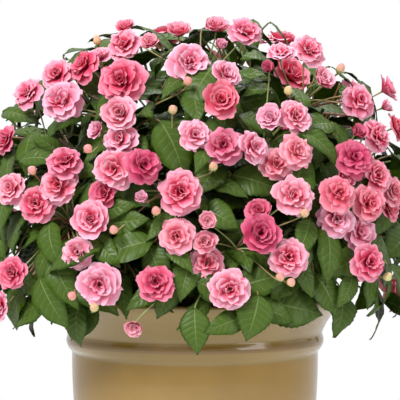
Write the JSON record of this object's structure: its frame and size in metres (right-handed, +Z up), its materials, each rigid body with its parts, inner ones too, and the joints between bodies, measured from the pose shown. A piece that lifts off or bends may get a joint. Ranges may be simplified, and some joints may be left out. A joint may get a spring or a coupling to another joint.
{
  "type": "potted busy lizzie",
  "caption": "Bushy busy lizzie with double pink blooms in a round glazed pot, which stands on its flat foot.",
  "frame": {"origin": "middle of the pot's flat underside, on the surface that it stands on", "axes": "+Z up along the pot's axis, -Y towards the side that the picture shows, +X to that viewer's right"},
  "size_m": [0.4429, 0.4319, 0.5274],
  "materials": {
    "pot_glaze": "gloss",
    "potting_soil": "matte",
    "leaf_green": "satin",
    "petal_pink": "satin"
  },
  "bodies": {
    "root": {"pot": "pot_glaze", "soil": "potting_soil", "leafy_shoot_01": "leaf_green", "leafy_shoot_02": "leaf_green", "leafy_shoot_03": "leaf_green", "leafy_shoot_04": "leaf_green", "leafy_shoot_05": "leaf_green", "leafy_shoot_06": "leaf_green", "leafy_shoot_07": "leaf_green", "leafy_shoot_08": "leaf_green", "leafy_shoot_09": "leaf_green", "leafy_shoot_10": "leaf_green", "leafy_shoot_11": "leaf_green", "leafy_shoot_12": "leaf_green", "leafy_shoot_13": "leaf_green", "leafy_shoot_14": "leaf_green", "leafy_shoot_15": "leaf_green", "leafy_shoot_16": "leaf_green", "leafy_shoot_17": "leaf_green", "leafy_shoot_18": "leaf_green", "leafy_shoot_19": "leaf_green", "leafy_shoot_20": "leaf_green", "leafy_shoot_21": "leaf_green", "leafy_shoot_22": "leaf_green", "leafy_shoot_23": "leaf_green", "leafy_shoot_24": "leaf_green", "leafy_shoot_25": "leaf_green", "bloom_spray_02": "petal_pink", "bloom_spray_03": "petal_pink", "bloom_spray_04": "petal_pink", "bloom_spray_05": "petal_pink", "bloom_spray_06": "petal_pink", "bloom_spray_07": "petal_pink", "bloom_spray_08": "petal_pink", "bloom_spray_09": "petal_pink", "bloom_spray_10": "petal_pink", "bloom_spray_11": "petal_pink", "bloom_spray_12": "petal_pink", "bloom_spray_13": "petal_pink", "bloom_spray_14": "petal_pink", "bloom_spray_15": "petal_pink", "bloom_spray_16": "petal_pink", "bloom_spray_17": "petal_pink", "bloom_spray_18": "petal_pink", "bloom_spray_19": "petal_pink", "bloom_spray_20": "petal_pink", "bloom_spray_21": "petal_pink", "bloom_spray_22": "petal_pink", "bloom_spray_23": "petal_pink", "bloom_spray_24": "petal_pink", "bloom_spray_25": "petal_pink"}
  },
  "joints": []
}
